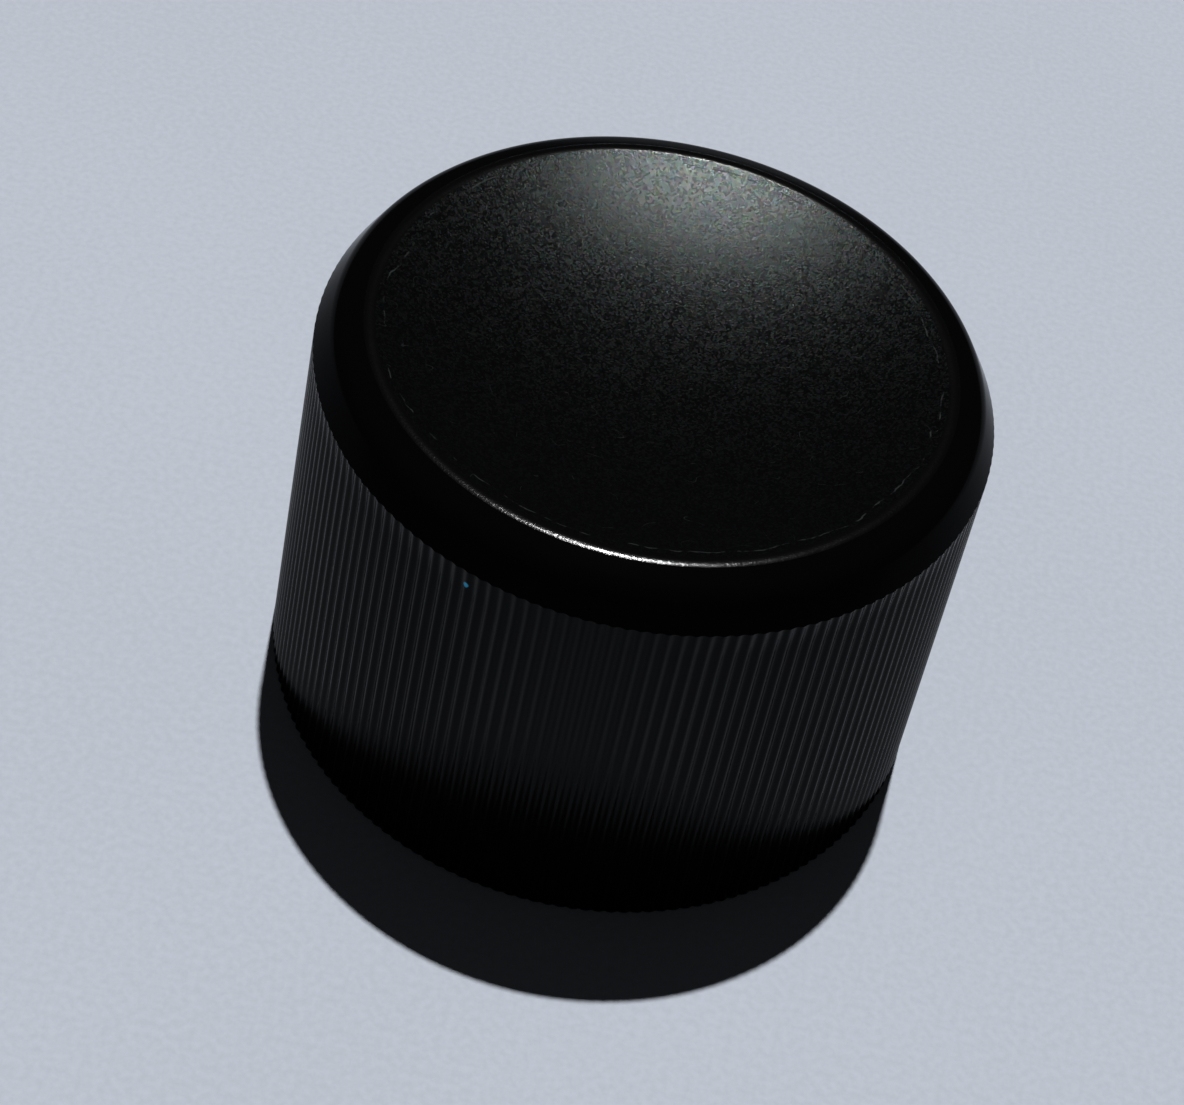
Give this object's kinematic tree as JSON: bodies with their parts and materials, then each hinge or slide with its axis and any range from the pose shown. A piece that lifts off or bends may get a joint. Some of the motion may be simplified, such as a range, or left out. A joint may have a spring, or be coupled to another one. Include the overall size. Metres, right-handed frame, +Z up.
{
  "type": "control knob",
  "caption": "Round push-on control knob with a finely ribbed, slightly tapered grip, smooth rounded shoulder, dished top, and a slotted hub underneath for a flatted shaft.",
  "frame": {"origin": "on the knob's axis, in the plane of the skirt's rim that it stands on", "axes": "+Z up along the axis towards the dished top; the shaft's flat faces -Y, the hub's slot runs along X and the spring band's gap faces +Y"},
  "size_m": [0.031, 0.031, 0.0208],
  "materials": {
    "black_plastic": "satin moulded black with a fine spark texture in the dish, polished along the crest by handling",
    "spring_steel": "plain rolled spring strip"
  },
  "bodies": {
    "root": {"knob_body": "black_plastic", "hub_spring": "spring_steel"}
  },
  "joints": []
}
